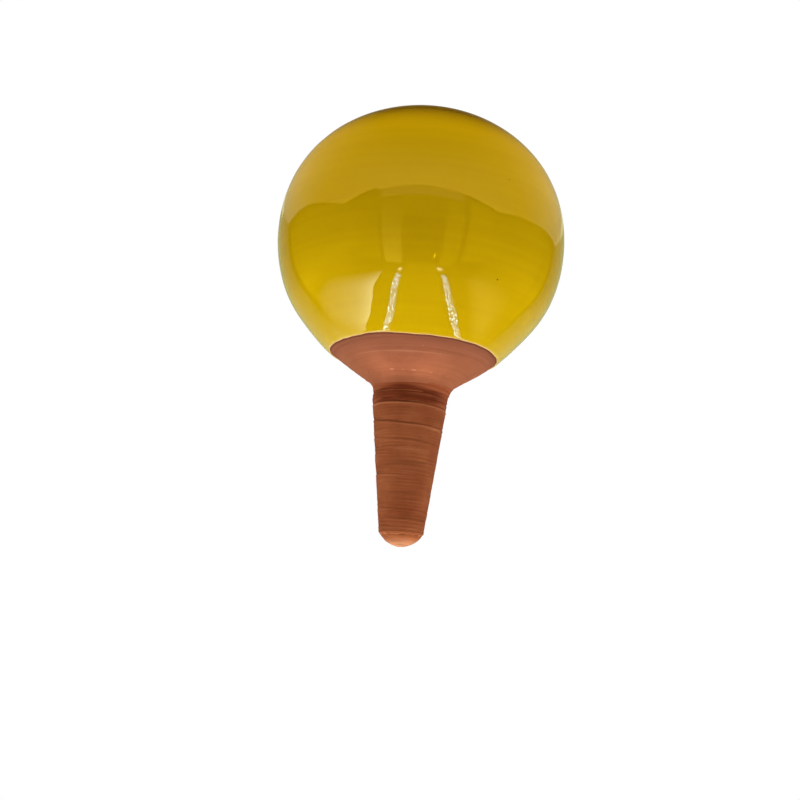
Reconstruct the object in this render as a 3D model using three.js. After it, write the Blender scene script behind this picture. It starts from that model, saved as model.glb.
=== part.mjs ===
// A small watering globe for a plant pot: a glazed terracotta reservoir on a bare, porous spike.
// Millimetres, +Z up. The origin is on the axis at the soil line, where the spike's neck meets the globe.
import * as THREE from "three";

// The globe, over its glaze
const GLOBE_DIAMETER = 110;
const CROWN_RISE = 49.6; // from the widest circle to where the crown's curve would close on the axis
const CROWN_FULLNESS = 2.13; // 2 is an ellipse, more is squarer
const BELLY_DROP = 54.8; // the lower half-axis of the belly
const GLOBE_WALL = 5;
const SHOULDER_ANGLE = 54.3; // degrees between the shoulder's cone and the axis

// The crown: a flat ring, a pouring dish inside it and a tapered throat for the stopper
const CROWN_FLAT_DIAMETER = 48;
const CROWN_RING_WIDTH = 4;
const DISH_DEPTH = 7;
const THROAT_DIAMETER = 20; // at the dish's floor
const THROAT_LENGTH = 8;
const THROAT_TAPER = 5; // degrees each side

// The coats on the globe
const ENGOBE_THICKNESS = 0.2;
const GLAZE_THICKNESS = 0.35;
const COAT_GAP = 0.05;
const GLAZE_LAP = 1.3; // how far the glaze runs down the shoulder's cone, past the belly
const ENGOBE_SHOW = 0.5; // the engobe's bare edge beside the glaze
const DISH_BARE = 2; // unglazed clay round the throat

// The neck and the spike
const NECK_DIAMETER = 28.7; // at the soil line
const NECK_COLLAR = 3; // from the soil line up to where the spike's cone meets the shoulder's cone
const NECK_FILLET = 4.4;
const FILLET_SHARE = 0.95; // of the room under the corner, at most
const SPIKE_LENGTH = 51.5; // from the soil line to the edge of the tip
const TIP_DIAMETER = 16.4;
const TIP_DOME = 4.8;
const SPIKE_TIP_WALL = 4.2;

// The joint between globe and spike, and the plug in the tip
const JOINT_GAP = 0.15;
const SLIP_THICKNESS = 1;
const SLIP_SLEEVE = 5; // how far the slip reaches up inside the socket
const SEAT_LIP = 2.1; // the globe's wall outside the socket, at the soil line
const COLLAR_WALL = 2.6;
const COLLAR_HEIGHT = 7;
const PLUG_STEM = 8;
const PLUG_INSET = 0.25; // the plug's edge behind the spike's face

// The stopper
const CORK_STAND = 6.5; // above the dish's floor
const CORK_REACH = 13; // below the dish's floor
const CORK_CHAMFER = 1;
const CORK_CLEARANCE = 0.3;

// Round resolution
const TURN_STEPS = 40;
const CROWN_STEPS = 7;
const BELLY_STEPS = 7;
const FILLET_STEPS = 4;
const DOME_STEPS = 5;

const radians = THREE.MathUtils.degToRad;
const point = (r, z) => new THREE.Vector2(r, z);

// Sizes that follow from the driving dimensions
const engobeFace = COAT_GAP + ENGOBE_THICKNESS;
const glazeBack = engobeFace + COAT_GAP;
const glazeFace = glazeBack + GLAZE_THICKNESS;
const clayRadius = GLOBE_DIAMETER / 2 - glazeFace;
const shoulder = radians(SHOULDER_ANGLE);
const neckRadius = NECK_DIAMETER / 2;
const tipRadius = TIP_DIAMETER / 2;
const spikeSlope = (neckRadius - tipRadius) / SPIKE_LENGTH;
const spikeRadius = (z) => neckRadius + z * spikeSlope;

// The neck's corner, and the belly's centre that brings the shoulder's cone through it
const corner = point(spikeRadius(NECK_COLLAR), NECK_COLLAR);
const shoulderAngle = (d) =>
  Math.atan2((BELLY_DROP + d) * Math.sin(shoulder), (clayRadius + d) * Math.cos(shoulder));
const tangentRadius = clayRadius * Math.cos(shoulderAngle(0));
const tangentDrop = BELLY_DROP * Math.sin(shoulderAngle(0));
const globeCentre = corner.y + (tangentRadius - corner.x) / Math.tan(shoulder) + tangentDrop;
const downShoulder = point(-Math.sin(shoulder), -Math.cos(shoulder));
const offShoulder = point(Math.cos(shoulder), -Math.sin(shoulder));

// The globe's round stretches at an offset d from the clay's face, each listed from below
function bellyCurve(d) {
  const start = shoulderAngle(d);
  return Array.from({ length: BELLY_STEPS + 1 }, (_, i) => {
    const angle = start * (1 - i / BELLY_STEPS);
    return point(
      (clayRadius + d) * Math.cos(angle),
      globeCentre - (BELLY_DROP + d) * Math.sin(angle),
    );
  });
}

function crownCurve(d, endAngle) {
  const power = 2 / CROWN_FULLNESS;
  return Array.from({ length: CROWN_STEPS }, (_, i) => {
    const angle = (endAngle * (i + 1)) / CROWN_STEPS;
    return point(
      (clayRadius + d) * Math.cos(angle) ** power,
      globeCentre + (CROWN_RISE + d) * Math.sin(angle) ** power,
    );
  });
}

const crownAngleAtRadius = (r, d) => Math.acos((r / (clayRadius + d)) ** (CROWN_FULLNESS / 2));
const crownAngleAtRise = (rise, d) => Math.asin((rise / (CROWN_RISE + d)) ** (CROWN_FULLNESS / 2));

// The crown's flat ring, the dish and the throat
const crownFlatRadius = CROWN_FLAT_DIAMETER / 2;
const crownFlatAngle = crownAngleAtRadius(crownFlatRadius, 0);
const crownFlatRise = CROWN_RISE * Math.sin(crownFlatAngle) ** (2 / CROWN_FULLNESS);
const crownHeight = globeCentre + crownFlatRise;
const dishRadius = crownFlatRadius - CROWN_RING_WIDTH;
const dishFloor = crownHeight - DISH_DEPTH;
const throatRadius = (z) =>
  THROAT_DIAMETER / 2 + (z - dishFloor) * Math.tan(radians(THROAT_TAPER));
const ceiling = dishFloor - THROAT_LENGTH;
const dishRim = point(dishRadius, crownHeight);
const dishMouth = point(throatRadius(dishFloor), dishFloor);
const downDish = dishMouth.clone().sub(dishRim).normalize();
const offDish = point(downDish.y, -downDish.x);
const dishSlant = dishRim.distanceTo(dishMouth);

const along = (start, direction, distance) => start.clone().addScaledVector(direction, distance);

// One face of a coat, from its edge on the shoulder to its edge in the dish
function coatFace(d, lap, bare) {
  const belly = bellyCurve(0);
  const lowEdge = along(along(belly[0], downShoulder, lap), offShoulder, d);
  const ringTurn = (d * (1 + downDish.x)) / downDish.y;
  return [
    lowEdge,
    ...bellyCurve(d),
    ...crownCurve(d, crownAngleAtRise(crownFlatRise + d, d)),
    point(dishRadius + ringTurn, crownHeight + d),
    along(along(dishRim, downDish, dishSlant - bare), offDish, d),
  ];
}

function coatProfile(back, face, lap, bare) {
  return [...coatFace(face, lap, bare), ...coatFace(back, lap, bare).reverse()];
}

// The joint at the neck: slip between the globe's socket and the spike's collar
const socketRadius = neckRadius - SEAT_LIP;
const collarRadius = socketRadius - SLIP_THICKNESS - 2 * JOINT_GAP;
const boreTopRadius = collarRadius - COLLAR_WALL;
const boreTipRadius = tipRadius - SPIKE_TIP_WALL;
const seat = SLIP_THICKNESS / 2 + JOINT_GAP;

function neckFillet() {
  const spikeAngle = Math.atan(spikeSlope);
  const turn = shoulder - spikeAngle;
  const upShoulder = downShoulder.clone().negate();
  const room = (corner.y - seat) / Math.cos(spikeAngle);
  const radius = Math.min(NECK_FILLET, (FILLET_SHARE * room) / Math.tan(turn / 2));
  const top = along(corner, upShoulder, radius * Math.tan(turn / 2));
  const centre = along(top, offShoulder, radius);
  return Array.from({ length: FILLET_STEPS + 1 }, (_, i) => {
    const angle = Math.PI - spikeAngle - (turn * i) / FILLET_STEPS;
    return point(
      centre.x + radius * Math.cos(angle),
      centre.y + radius * Math.sin(angle),
    );
  });
}

function globeProfile() {
  const inside = -GLOBE_WALL;
  const innerBelly = bellyCurve(inside);
  const innerCrown = crownCurve(inside, crownAngleAtRadius(crownFlatRadius, inside));
  const socketTop = innerBelly[0].y - (innerBelly[0].x - socketRadius) / Math.tan(shoulder);
  return [
    point(spikeRadius(seat), seat),
    ...neckFillet(),
    ...bellyCurve(0),
    ...crownCurve(0, crownFlatAngle),
    dishRim,
    dishMouth,
    point(throatRadius(ceiling), ceiling),
    ...innerCrown.reverse(),
    ...innerBelly.reverse(),
    point(socketRadius, socketTop),
    point(socketRadius, seat),
  ];
}

function spikeProfile() {
  return [
    point(tipRadius, -SPIKE_LENGTH),
    point(spikeRadius(-seat), -seat),
    point(collarRadius, -seat),
    point(collarRadius, COLLAR_HEIGHT),
    point(boreTopRadius, COLLAR_HEIGHT),
    point(boreTipRadius, -SPIKE_LENGTH),
  ];
}

function slipProfile() {
  const inner = collarRadius + JOINT_GAP;
  const half = SLIP_THICKNESS / 2;
  return [
    point(inner, -half),
    point(neckRadius, -half),
    point(neckRadius, half),
    point(inner + SLIP_THICKNESS, half),
    point(inner + SLIP_THICKNESS, SLIP_SLEEVE),
    point(inner, SLIP_SLEEVE),
  ];
}

function plugProfile() {
  const edge = -SPIKE_LENGTH - JOINT_GAP;
  const stemRadius = boreTipRadius - JOINT_GAP;
  const dome = Array.from({ length: DOME_STEPS + 1 }, (_, i) => {
    const angle = (Math.PI / 2) * (1 - i / DOME_STEPS);
    const r = i === 0 ? 0 : (tipRadius - PLUG_INSET) * Math.cos(angle);
    return point(r, edge - TIP_DOME * Math.sin(angle));
  });
  return [
    ...dome,
    point(stemRadius, edge),
    point(stemRadius, PLUG_STEM - SPIKE_LENGTH),
    point(0, PLUG_STEM - SPIKE_LENGTH),
  ];
}

function corkProfile() {
  const top = dishFloor + CORK_STAND;
  const bottom = dishFloor - CORK_REACH;
  const corkRadius = (z) => throatRadius(z) - CORK_CLEARANCE;
  return [
    point(0, bottom),
    point(corkRadius(bottom) - CORK_CHAMFER, bottom),
    point(corkRadius(bottom + CORK_CHAMFER), bottom + CORK_CHAMFER),
    point(corkRadius(top - CORK_CHAMFER), top - CORK_CHAMFER),
    point(corkRadius(top) - CORK_CHAMFER, top),
    point(0, top),
  ];
}

// A profile of (radius, height) turned round the Z axis into one closed body
function turned(name, profile, material) {
  const onAxis = profile[0].x === 0;
  const outline = onAxis ? profile : [...profile, profile[0]];
  const mesh = new THREE.Mesh(new THREE.LatheGeometry(outline, TURN_STEPS), material);
  mesh.name = name;
  mesh.rotation.x = Math.PI / 2;
  return mesh;
}

function finish(color, roughness) {
  return new THREE.MeshStandardMaterial({ color, roughness, metalness: 0 });
}

const terracotta = finish(0xb0694a, 0.85);
const darkTerracotta = finish(0x8f4b2e, 0.85);
const firedSlip = finish(0x74391e, 0.9);
const scrapedClay = finish(0xcf8a5f, 0.9);
const creamEngobe = finish(0xe8d3b0, 0.7);
const goldenGlaze = finish(0xc9a014, 0.12);
const naturalCork = finish(0xc79a66, 0.9);

const engobeBare = DISH_BARE - ENGOBE_SHOW;
const engobe = coatProfile(COAT_GAP, engobeFace, GLAZE_LAP + ENGOBE_SHOW, engobeBare);
const glaze = coatProfile(glazeBack, glazeFace, GLAZE_LAP, DISH_BARE);

const olla = new THREE.Group();
olla.add(
  turned("globe", globeProfile(), terracotta),
  turned("engobe_coat", engobe, creamEngobe),
  turned("glaze_coat", glaze, goldenGlaze),
  turned("spike", spikeProfile(), darkTerracotta),
  turned("luting_slip", slipProfile(), firedSlip),
  turned("tip_plug", plugProfile(), scrapedClay),
  turned("fill_cork", corkProfile(), naturalCork),
);

export default olla;
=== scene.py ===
# %% [markdown]
# # A glazed watering globe on a terracotta spike
#
# This lesson dresses a small irrigation olla: a golden-yellow glazed globe that holds water, on a bare clay
# spike that is pushed into the soil of a plant pot and lets the water seep out. The CAD model already fixes
# every size. Here each plain solid gets a finer, hand-made skin and a procedural finish, and nothing is
# moved.

import math

import bpy
import numpy as np
from mathutils import Matrix, Vector


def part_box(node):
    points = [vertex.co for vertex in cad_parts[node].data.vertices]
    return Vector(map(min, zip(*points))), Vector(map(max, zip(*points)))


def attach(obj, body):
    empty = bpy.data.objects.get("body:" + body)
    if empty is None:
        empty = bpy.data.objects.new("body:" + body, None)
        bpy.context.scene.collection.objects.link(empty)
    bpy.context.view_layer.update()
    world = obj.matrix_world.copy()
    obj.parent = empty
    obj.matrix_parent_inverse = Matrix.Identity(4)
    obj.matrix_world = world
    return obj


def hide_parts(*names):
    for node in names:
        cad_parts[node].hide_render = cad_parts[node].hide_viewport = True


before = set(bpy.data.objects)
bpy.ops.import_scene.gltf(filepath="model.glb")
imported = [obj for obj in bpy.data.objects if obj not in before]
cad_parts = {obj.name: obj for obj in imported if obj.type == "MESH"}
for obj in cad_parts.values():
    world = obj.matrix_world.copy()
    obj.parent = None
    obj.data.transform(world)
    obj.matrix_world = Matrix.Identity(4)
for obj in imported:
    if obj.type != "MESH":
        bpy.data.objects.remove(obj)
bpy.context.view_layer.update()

# %% [markdown]
# ## Sizes
#
# On the real olla every piece is round about one axis, so a radius and two heights say where it is. They
# could be typed in again, but then the skin and the solid could part. So they are read from the boxes of
# the CAD nodes, and only what a box can't tell, such as how full a curve is, has a value of its own. All
# lengths are metres.

# %% Read the sizes
MM = 0.001


def turned_size(node):
    low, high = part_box(node)
    return max(high.x, high.y), low.z, high.z


clay_radius, seat_z, crown_z = turned_size("globe")
finish_radius, glaze_low_z, glaze_top_z = turned_size("glaze_coat")
neck_radius, slip_low_z, slip_top_z = turned_size("luting_slip")
_, tip_z, collar_top_z = turned_size("spike")
_, wad_low_z, wad_top_z = turned_size("tip_plug")
cork_radius, cork_low_z, cork_top_z = turned_size("fill_cork")

CROWN_RISE = 49.6 * MM
CROWN_FULLNESS = 2.13
BELLY_DROP = 54.8 * MM
GLOBE_WALL = 5 * MM
SHOULDER_ANGLE = math.radians(54.3)
CROWN_FLAT_RADIUS = 24 * MM
DISH_RADIUS = 20 * MM
DISH_DEPTH = 7 * MM
THROAT_RADIUS = 10 * MM
THROAT_LENGTH = 8 * MM
THROAT_TAPER = math.radians(5)
NECK_COLLAR = 3 * MM
TIP_RADIUS = 8.2 * MM

crown_close = (1 - (CROWN_FLAT_RADIUS / clay_radius) ** CROWN_FULLNESS) ** (1 / CROWN_FULLNESS)
globe_mid_z = crown_z - CROWN_RISE * crown_close
spike_slope = (neck_radius - TIP_RADIUS) / -tip_z
coat_depth = finish_radius - clay_radius
print(f"globe {2 * finish_radius / MM:.1f} mm across")
print(f"its middle lies {globe_mid_z / MM:.2f} mm above the soil line")

# %% [markdown]
# ## Camera
#
# The photograph looks up at the olla from a little below its belly, with the picture leaning by a few
# degrees. The camera could be placed by eye, but a camera that is worked out keeps the outline true: it
# stands a known way back and below, leans by a known roll, and is turned until the globe's middle falls on
# its pixel.

# %% Set the camera
IMAGE_SIDE = 800
FOCAL_PIXELS = 1000
SENSOR_WIDTH = 36
CLIP_START = 0.01
EYE_BACK = 0.36662
EYE_BELOW = 0.14019
EYE_ROLL = math.radians(3.865)
MIDDLE_PIXEL = (420.61, 245.54)


def put(name, data):
    made = bpy.data.objects.new(name, data)
    bpy.context.scene.collection.objects.link(made)
    return made


def aimed_camera():
    middle = Vector((0, 0, globe_mid_z))
    eye = Vector((0, -EYE_BACK, globe_mid_z - EYE_BELOW))
    ahead = (middle - eye).normalized()
    level = ahead.cross(Vector((0, 0, 1))).normalized()
    upright = level.cross(ahead)
    right = math.cos(EYE_ROLL) * level + math.sin(EYE_ROLL) * upright
    up = math.cos(EYE_ROLL) * upright - math.sin(EYE_ROLL) * level
    half = IMAGE_SIDE / 2
    across = (MIDDLE_PIXEL[0] - half) / FOCAL_PIXELS
    down = (MIDDLE_PIXEL[1] - half) / FOCAL_PIXELS
    toward = Vector((across, -down, 1)).normalized()
    turn = Vector((0, 0, 1)).rotation_difference(toward).to_matrix()
    axes = turn @ Matrix((right, up, ahead))
    facing = Matrix((axes[0], axes[1], -axes[2])).transposed()
    lens = bpy.data.cameras.new("photo_camera")
    lens.sensor_width = SENSOR_WIDTH
    lens.lens = SENSOR_WIDTH * FOCAL_PIXELS / IMAGE_SIDE
    lens.clip_start = CLIP_START
    camera = put("photo_camera", lens)
    camera.matrix_world = Matrix.Translation(eye) @ facing.to_4x4()
    bpy.context.scene.camera = camera
    return camera


camera = aimed_camera()
bpy.context.scene.view_settings.view_transform = "Standard"
print("camera at", [round(v, 4) for v in camera.location], "with a lens of", camera.data.lens, "mm")

# %% [markdown]
# ## Nodes in few words
#
# Every finish below is a small tree of shader nodes. Blender can add nodes one call at a time, but that
# hides the recipe in bookkeeping. The first helper makes a node, sets its options and fills or links its
# sockets in one go, and the others are built on it. A finish is then a base colour with layers of other
# colours over it.

# %% Node helpers


def add_node(tree, kind, sockets=None, **options):
    made = tree.nodes.new(kind)
    for option, value in options.items():
        setattr(made, option, value)
    for name, value in (sockets or {}).items():
        if isinstance(value, bpy.types.NodeSocket):
            tree.links.new(value, made.inputs[name])
        else:
            made.inputs[name].default_value = value
    return made


def mix_colours(tree, factor, first, second):
    first, second = ((*c, 1) if isinstance(c, tuple) else c for c in (first, second))
    sockets = {0: factor, 6: first, 7: second}
    return add_node(tree, "ShaderNodeMix", sockets, data_type="RGBA").outputs[2]


def map_range(tree, value, low, high, start, end):
    sockets = {"Value": value, "From Min": low, "From Max": high, "To Min": start, "To Max": end}
    return add_node(tree, "ShaderNodeMapRange", sockets).outputs["Result"]


def math_node(tree, operation, first, second=0.0):
    return add_node(tree, "ShaderNodeMath", {0: first, 1: second}, operation=operation).outputs[0]


def vector_math(tree, operation, first, second=(0, 0, 0)):
    made = add_node(tree, "ShaderNodeVectorMath", {0: first, 1: second}, operation=operation)
    return made.outputs["Value" if operation in ("LENGTH", "DISTANCE") else "Vector"]


def object_place(tree):
    return add_node(tree, "ShaderNodeTexCoord").outputs["Object"]


def split(tree, place):
    return add_node(tree, "ShaderNodeSeparateXYZ", {0: place}).outputs


def new_finish(name):
    finish = bpy.data.materials.new(name)
    finish.use_nodes = True
    tree = finish.node_tree
    return finish, tree, tree.nodes["Principled BSDF"]


print("node helpers ready")

# %% [markdown]
# ## Floor and background
#
# The photograph's ground is plain white. A floor right under the spike would cut the low camera's view, so
# a pale disc lies well below and fades out towards its edge, and the world shows white to the camera. Soft
# light for matt surfaces also comes from the world, while mirror-like glaze sees a darker room, as it does
# in the photograph.

# %% Floor
FLOOR_Z = -0.55
FLOOR_RADIUS = 1.5
FLOOR_FADE_FROM, FLOOR_FADE_TO = 0.5, 0.95 * FLOOR_RADIUS
FLOOR_POINTS = 96
FLOOR_COLOUR = (0.86, 0.86, 0.85, 1)
FLOOR_ROUGHNESS = 0.9

floor_mesh = bpy.data.meshes.new("pale_floor")
floor_turn = np.linspace(0, 2 * np.pi, FLOOR_POINTS, endpoint=False)
floor_rim = [(FLOOR_RADIUS * math.cos(a), FLOOR_RADIUS * math.sin(a), FLOOR_Z) for a in floor_turn]
floor_mesh.from_pydata(floor_rim, [], [list(range(FLOOR_POINTS))])
floor = put("pale_floor", floor_mesh)
floor.visible_glossy = False

floor_finish, tree, shader = new_finish("pale_floor")
shader.inputs["Base Color"].default_value = FLOOR_COLOUR
shader.inputs["Roughness"].default_value = FLOOR_ROUGHNESS
reach = vector_math(tree, "LENGTH", vector_math(tree, "MULTIPLY", object_place(tree), (1, 1, 0)))
floor_share = map_range(tree, reach, FLOOR_FADE_FROM, FLOOR_FADE_TO, 1, 0)
tree.links.new(floor_share, shader.inputs["Alpha"])
floor_mesh.materials.append(floor_finish)
print(f"floor {2 * FLOOR_RADIUS:.1f} m across, {-FLOOR_Z:.2f} m below the soil line")

# %% World
SKY_WHITE = 1.0
ROOM_LIGHT = 0.2
ROOM_MIRROR = 0.004

world = bpy.data.worlds.new("white_room")
bpy.context.scene.world = world
world.use_nodes = True
tree = world.node_tree
backdrop = tree.nodes["Background"]
rays = add_node(tree, "ShaderNodeLightPath").outputs
seen = math_node(tree, "MULTIPLY", rays["Is Camera Ray"], SKY_WHITE - ROOM_LIGHT)
kept_back = math_node(tree, "MULTIPLY", rays["Is Glossy Ray"], ROOM_LIGHT - ROOM_MIRROR)
glow = math_node(tree, "ADD", math_node(tree, "SUBTRACT", seen, kept_back), ROOM_LIGHT)
backdrop.inputs["Color"].default_value = (1, 1, 1, 1)
tree.links.new(glow, backdrop.inputs["Strength"])
print("the world shows", SKY_WHITE, "to the camera and", ROOM_MIRROR, "in the glaze")

# %% [markdown]
# ## Light tent
#
# The glaze mirrors a small photographer's tent. A sheet of table lies above, shaded round the globe. Walls
# stand about it with dark seams between them, and posts flank the opening in front. Below are pale cloths
# and two strips of dotted lamps. An image of a studio could light the scene, but no picture is used here,
# so each part is an area light that the camera doesn't see. The fills light matt surfaces and stay out of
# the glaze. The mirrored panels show in glossy surfaces alone.

# %% Tent panels
WATTS_FOR_GLOW = 4
DOWN, UP = (0, 0, -1), (0, 0, 1)
LEFTWARD, RIGHTWARD = (-1, 0, 0), (1, 0, 0)
BACKWARD, FORWARD = (0, 1, 0), (0, -1, 0)
WHITE, WARM = (1, 1, 1), (1, 0.72, 0.008)


def panel(name, middle, facing, wide, tall, glow, tint=WHITE):
    facing = Vector(facing)
    up = Vector((0, 1, 0)) if facing.z else Vector((0, 0, 1))
    right = up.cross(-facing)
    lamp = bpy.data.lights.new(name, "AREA")
    lamp.shape = "RECTANGLE"
    lamp.size = wide
    lamp.size_y = tall
    lamp.color = tint
    lamp.energy = WATTS_FOR_GLOW * wide * tall * glow
    light = put(name, lamp)
    axes = Matrix((right, up, -facing)).transposed().to_4x4()
    light.matrix_world = Matrix.Translation(Vector(middle) + Vector((0, 0, globe_mid_z))) @ axes
    light.visible_camera = False
    return light


def mirrored(*layout):
    light = panel(*layout)
    light.visible_diffuse = False
    return light


# Each fill: its middle from the globe's middle, the way it faces, its width, its height and its glow.
for name, *layout in (
    ("low_fill", (0, 0, -0.42), UP, 0.5, 0.5, 1.78),
    ("high_fill", (0, 0, 0.6), DOWN, 0.8, 0.8, 2.25),
    ("front_fill", (0, -0.9, 0), BACKWARD, 1.0, 0.7, 0.48),
    ("left_fill", (-0.75, 0, 0), RIGHTWARD, 1.0, 0.7, 0.86),
    ("right_fill", (0.75, 0, 0), LEFTWARD, 1.0, 0.7, 0.95),
):
    panel(name, *layout).visible_glossy = False
    print("fill:", name)

# %% Panels that fade


def glow_tree(light):
    light.data.use_nodes = True
    tree = light.data.node_tree
    return tree, add_node(tree, "ShaderNodeNewGeometry").outputs, tree.nodes["Emission"].inputs


def fading(light, axis, bright_at, power, least=0.0, blur=0.0, soft="XY"):
    tree, spot, lamp = glow_tree(light)
    place = split(tree, spot["Parametric"])
    away = math_node(tree, "ABSOLUTE", math_node(tree, "SUBTRACT", place[axis], bright_at))
    near = math_node(tree, "POWER", math_node(tree, "SUBTRACT", 1.0, away), power)
    glow = map_range(tree, near, 0, 1, least, 1)
    for side in soft if blur else "":
        middle = math_node(tree, "ABSOLUTE", math_node(tree, "SUBTRACT", place[side], 0.5))
        glow = math_node(tree, "MULTIPLY", glow, map_range(tree, middle, 0.5, 0.5 - blur, 0, 1))
    tree.links.new(glow, lamp["Strength"])
    return light


# Each ramp: its slope across and backwards, where it is dark, where it is bright, and its least share.
def dimmed(light, *ramps):
    tree = light.data.node_tree
    place = split(tree, add_node(tree, "ShaderNodeNewGeometry").outputs["Position"])
    strength = tree.nodes["Emission"].inputs["Strength"]
    glow = strength.links[0].from_socket
    for along_x, along_y, dark, bright, least in ramps:
        sideways = math_node(tree, "MULTIPLY", place["X"], along_x)
        where = math_node(tree, "ADD", sideways, math_node(tree, "MULTIPLY", place["Y"], along_y))
        glow = math_node(tree, "MULTIPLY", glow, map_range(tree, where, dark, bright, least, 1))
    tree.links.new(glow, strength)


print("a panel's glow can fade along its sides or over the room")

# %% Tent walls
FRONT_Y, BACK_Y = -0.6, 0.47
FRONT_TALL = 0.65
SEAM_BLUR = 0.08
SIDE_Z, SIDE_TALL, SIDE_BRIGHT = -0.325, 1.05, 0.6
BACK_WIDE = 0.7
POST_TINT, SHEET_TINT, BACK_TINT = (1, 0.74, 0.06), (1, 0.55, 0.12), (0.74, 0.88, 0.54)

# Each front part: its middle across and up, width, glow and tint, how fast it fades, and its least share.
for name, x, z, wide, glow, tint, fade, least in (
    ("front_wall_left", -0.56, -0.12, 0.36, 1.1, WARM, 1.3, 0.08),
    ("front_wall_right", 0.61, -0.1, 0.4, 1.2, WARM, 0.6, 0.4),
    ("front_left_post", -0.25, -0.155, 0.18, 2.4, POST_TINT, 1.6, 0.1),
    ("front_right_post", 0.268, -0.155, 0.165, 1.1, WARM, 0.6, 0.4),
):
    wall = mirrored(name, (x, FRONT_Y, z), BACKWARD, wide, FRONT_TALL, glow, tint)
    fading(wall, "Y", 0, fade, least, blur=SEAM_BLUR, soft="Y")
mirrored("front_top_bar", (0.01, FRONT_Y, 0.1), BACKWARD, 0.32, 0.13, 0.35, WARM)
mirrored("table_front", (-0.015, FRONT_Y, 0.21), BACKWARD, 0.7, 0.08, 0.9, SHEET_TINT)

# Each side part: its middle across and back, the way it faces, its width, its glow and how fast it fades.
for name, x, y, facing, wide, glow, fade in (
    ("left_wall", -0.72, -0.105, RIGHTWARD, 0.97, 1.15, 4.0),
    ("right_wall", 0.8, -0.16, LEFTWARD, 0.86, 1.0, 3.0),
    ("right_back_corner", 0.8, 0.38, LEFTWARD, 0.18, 0.8, 3.0),
):
    wall = mirrored(name, (x, y, SIDE_Z), facing, wide, SIDE_TALL, glow, WARM)
    fading(wall, "Y", SIDE_BRIGHT, fade)
mirrored("front_glint", (0.126, FRONT_Y, -0.33), BACKWARD, 0.012, 0.06, 9, WARM)
for name, side in (("back_wall_left", -1), ("back_wall_right", 1)):
    middle = (BACK_WIDE / 2 * side, BACK_Y, -0.3)
    wall = mirrored(name, middle, FORWARD, BACK_WIDE, 1.1, 0.66, BACK_TINT)
    fading(wall, "Y", 0, 0.5, 0.5)
    dimmed(wall, (side, 0, BACK_WIDE, 0.3, 0.3))
print("fills, walls and posts:", len(bpy.data.lights))

# %% Table sheet
TABLE_Z = 0.25
TABLE_GLOW = 2.4
TABLE_FRONT, TABLE_BACK = -0.59, 0.47
TABLE_FADE, TABLE_LEAST = 3.0, 0.42
DIM_FROM, DIM_TO, TABLE_DIM = 0.2, 0.5, 0.62
SHADE_FROM, SHADE_TO, SHADE_LONGER = 0.09, 0.34, 0.55
RIGHT_EDGE, RIGHT_SLANT, RIGHT_SOFT = 0.838, 0.3, 0.03
LEFT_EDGE, LEFT_SLANT, LEFT_BEND, LEFT_SOFT = -0.69, 0.384, 0.058, 0.02
FAR_FROM, FAR_TO = -0.1, 0.4
NEAR_COLOUR, FAR_COLOUR = (1, 0.6, 0.075), (0.6, 0.58, 0.4)


def table_part(name, left, right, front, back):
    middle = ((left + right) / 2, (front + back) / 2, TABLE_Z)
    table = mirrored(name, middle, DOWN, right - left, back - front, TABLE_GLOW)
    tree, spot, lamp = glow_tree(table)
    place = split(tree, spot["Position"])
    x, depth = place["X"], place["Y"]
    behind = math_node(tree, "MINIMUM", depth, math_node(tree, "MULTIPLY", depth, SHADE_LONGER))
    flat = add_node(tree, "ShaderNodeCombineXYZ", {"X": x, "Y": behind}).outputs[0]
    reach = vector_math(tree, "LENGTH", flat)
    near = math_node(tree, "POWER", map_range(tree, depth, TABLE_FRONT, TABLE_BACK, 1, 0), TABLE_FADE)
    lit = map_range(tree, near, 0, 1, TABLE_LEAST, 1)
    back_part = math_node(tree, "MAXIMUM", depth, 0.0)
    right_line = math_node(tree, "ADD", x, math_node(tree, "MULTIPLY", back_part, RIGHT_SLANT))
    front_part = math_node(tree, "MAXIMUM", math_node(tree, "SUBTRACT", LEFT_BEND, depth), 0.0)
    left_line = math_node(tree, "ADD", x, math_node(tree, "MULTIPLY", front_part, LEFT_SLANT))
    for factor in (
        map_range(tree, reach, SHADE_FROM, SHADE_TO, 0, 1),
        map_range(tree, right_line, RIGHT_EDGE, RIGHT_EDGE + RIGHT_SOFT, 1, 0),
        map_range(tree, left_line, LEFT_EDGE - LEFT_SOFT, LEFT_EDGE, 0, 1),
        map_range(tree, depth, DIM_FROM, DIM_TO, 1, TABLE_DIM),
    ):
        lit = math_node(tree, "MULTIPLY", lit, factor)
    tree.links.new(lit, lamp["Strength"])
    far = map_range(tree, depth, FAR_FROM, FAR_TO, 0, 1)
    tree.links.new(mix_colours(tree, far, NEAR_COLOUR, FAR_COLOUR), lamp["Color"])
    print(f"{name}: {right - left:.2f} by {back - front:.2f} m")


table_part("table_middle", -0.38, 0.64, -0.59, 0.52)
table_part("table_left", -0.92, -0.38, -0.525, 0.47)
table_part("table_right", 0.64, 0.87, -0.56, 0.52)

# %% Cloth below
FLOOR_LEVEL = -0.4
CLOTH_TINT, PALE_TINT, CAP_TINT = (1, 0.75, 0.15), (0.93, 1, 0.64), (1, 0.85, 0.4)
CAP_GLOW, CAP_BLUR = 13, 0.5


def floor_part(name, left, right, front, back, glow, tint):
    middle = ((left + right) / 2, (front + back) / 2, FLOOR_LEVEL)
    return mirrored(name, middle, UP, right - left, back - front, glow, tint)


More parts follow.
